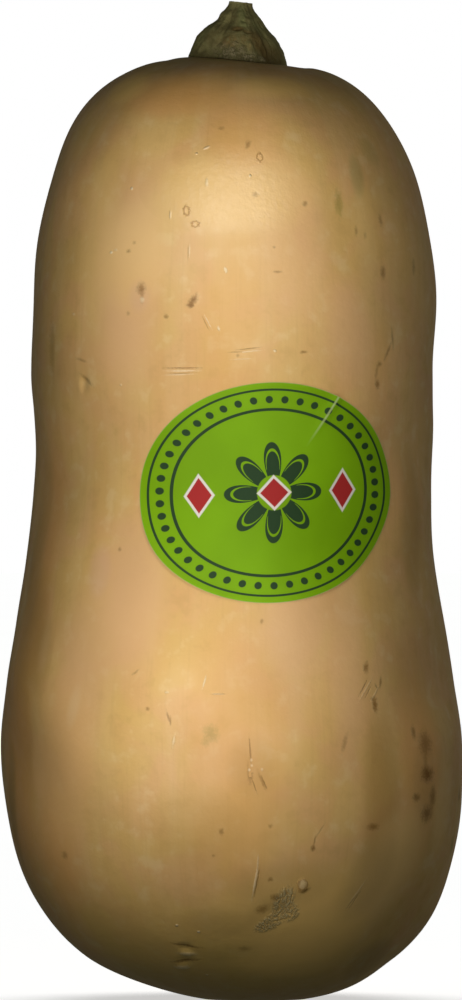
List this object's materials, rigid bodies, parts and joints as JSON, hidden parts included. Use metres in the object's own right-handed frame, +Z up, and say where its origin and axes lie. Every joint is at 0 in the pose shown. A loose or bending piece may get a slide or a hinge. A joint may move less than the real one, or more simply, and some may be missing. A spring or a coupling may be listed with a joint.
{
  "type": "butternut squash",
  "caption": "Whole butternut squash standing on its blossom end, with a long neck, a wider seed bulb, a woody ribbed stem stub and an oval produce sticker.",
  "frame": {"origin": "on the surface it stands on, under the middle of its bounding box", "axes": "+Z up along the fruit from the blossom end to the stem; +X to the right of someone who faces the sticker; the sticker is on the -Y side"},
  "size_m": [0.1108, 0.1076, 0.2393],
  "materials": {
    "skin": "buff tan waxy plant rind, satin, with fine pale and brown flecks, scars and faint lengthwise streaks",
    "stem": "dry olive brown corky stem, matte, ribbed and cracked",
    "sticker": "lime green vinyl with a dark green ornament, semi-gloss"
  },
  "bodies": {
    "root": {"squash_fruit": "skin", "stem_stub": "stem", "oval_sticker": "sticker"}
  },
  "joints": []
}
